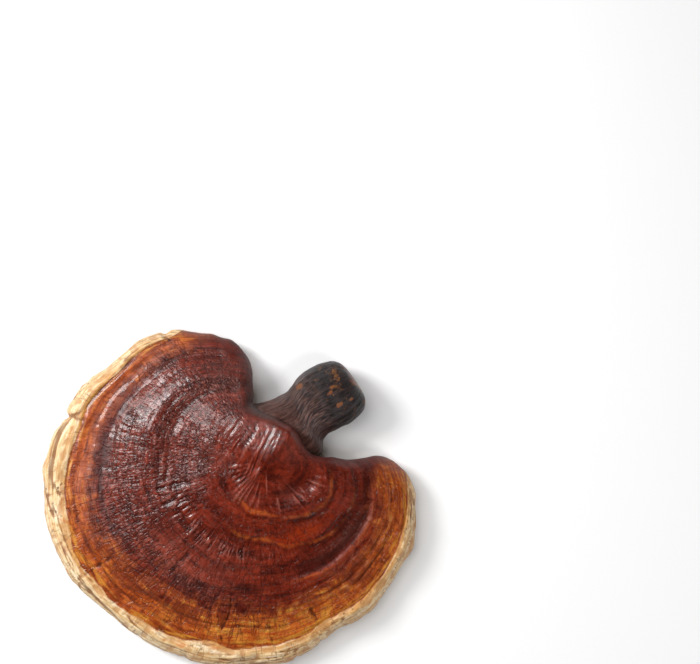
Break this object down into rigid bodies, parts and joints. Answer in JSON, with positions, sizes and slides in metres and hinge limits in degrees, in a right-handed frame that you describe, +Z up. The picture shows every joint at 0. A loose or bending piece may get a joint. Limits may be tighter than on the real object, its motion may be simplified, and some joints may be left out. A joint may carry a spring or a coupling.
{
  "type": "reishi mushroom",
  "caption": "Dried reishi mushroom lying on its pore surface: a ringed, lacquered, kidney-shaped woody cap with a pale margin, on a short dark side stem.",
  "frame": {"origin": "middle of the footprint, on the surface that the cap rests on", "axes": "+Z up from the pore surface, +Y towards the stem, +X to the right seen from above with the stem at the top"},
  "size_m": [0.123, 0.1172, 0.0268],
  "materials": {
    "lacquered_crust": "red-brown lacquered crust in rings, amber outer band, matte cream margin, tan pore surface",
    "dark_stem_crust": "dark brown wrinkled crust with tan flecks and a worn, cut end"
  },
  "bodies": {
    "root": {"cap": "lacquered_crust", "stem": "dark_stem_crust"}
  },
  "joints": []
}
